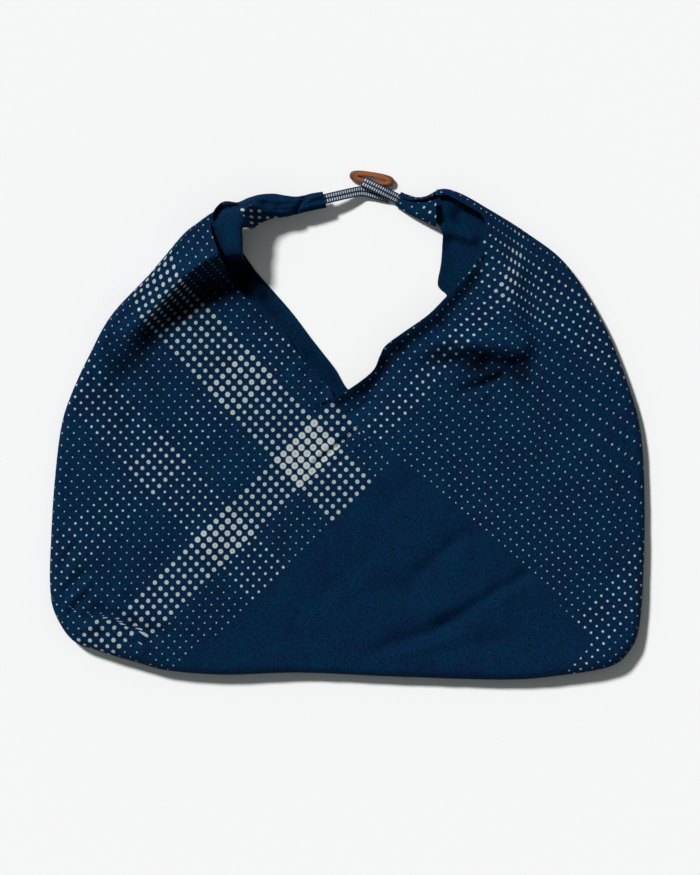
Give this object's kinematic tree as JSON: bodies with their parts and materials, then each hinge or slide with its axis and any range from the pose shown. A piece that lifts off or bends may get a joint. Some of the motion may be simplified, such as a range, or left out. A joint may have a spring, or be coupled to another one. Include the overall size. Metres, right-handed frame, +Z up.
{
  "type": "tsuno bag",
  "caption": "Horn-shaped cloth shoulder bag lying flat, with a V-shaped mouth, two arms gathered into sleeves and a woven tape with a slotted wooden toggle.",
  "frame": {"origin": "on the surface that the bag lies on, under the middle of its overall box", "axes": "+X along the bag's width, +Y from its bottom to its strap, +Z up from the surface"},
  "size_m": [0.5954, 0.5097, 0.0593],
  "materials": {
    "dotted_cloth": "indigo cotton with a lattice of small off-white dots, matt",
    "plain_cloth": "plain indigo cotton with a slubby weave, matt",
    "woven_tape": "navy and white woven tape",
    "toggle_wood": "orange-brown wood, satin varnish"
  },
  "bodies": {
    "root": {"front_left_panel": "dotted_cloth", "front_right_panel": "dotted_cloth", "corner_panel": "dotted_cloth", "lower_panel": "plain_cloth", "back_panel": "plain_cloth", "left_sleeve": "plain_cloth", "right_sleeve": "dotted_cloth", "left_tape": "woven_tape", "right_tape": "woven_tape", "toggle": "toggle_wood"}
  },
  "joints": []
}
